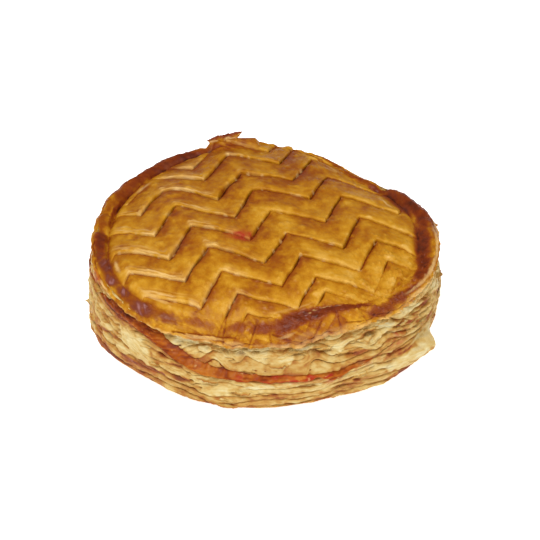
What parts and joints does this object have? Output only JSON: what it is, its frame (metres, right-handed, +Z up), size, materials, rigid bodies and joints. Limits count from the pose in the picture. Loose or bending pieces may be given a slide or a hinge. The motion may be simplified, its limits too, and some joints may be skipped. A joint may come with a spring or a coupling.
{
  "type": "galette des rois",
  "caption": "Small round puff pastry cake with a chevron-scored domed lid, rolled browned rim and flaky layered side, filled with a thin fruit layer; rests on its flat underside.",
  "frame": {"origin": "on the flat underside, under the middle of the cake", "axes": "+Z up, +X along the widest width with the corner of the rim, -Y towards the front where the side shows most"},
  "size_m": [0.125, 0.1173, 0.0365],
  "materials": {
    "base_pastry": "dry flaky baked puff pastry, pale yellow leaves with golden edges",
    "filling": "moist sticky amber fruit filling with red patches",
    "lid_pastry": "glossy egg-washed golden brown puff pastry, darker at the rim and in the scored lines"
  },
  "bodies": {
    "root": {"base_pastry": "base_pastry", "filling": "filling", "lid_pastry": "lid_pastry"}
  },
  "joints": []
}
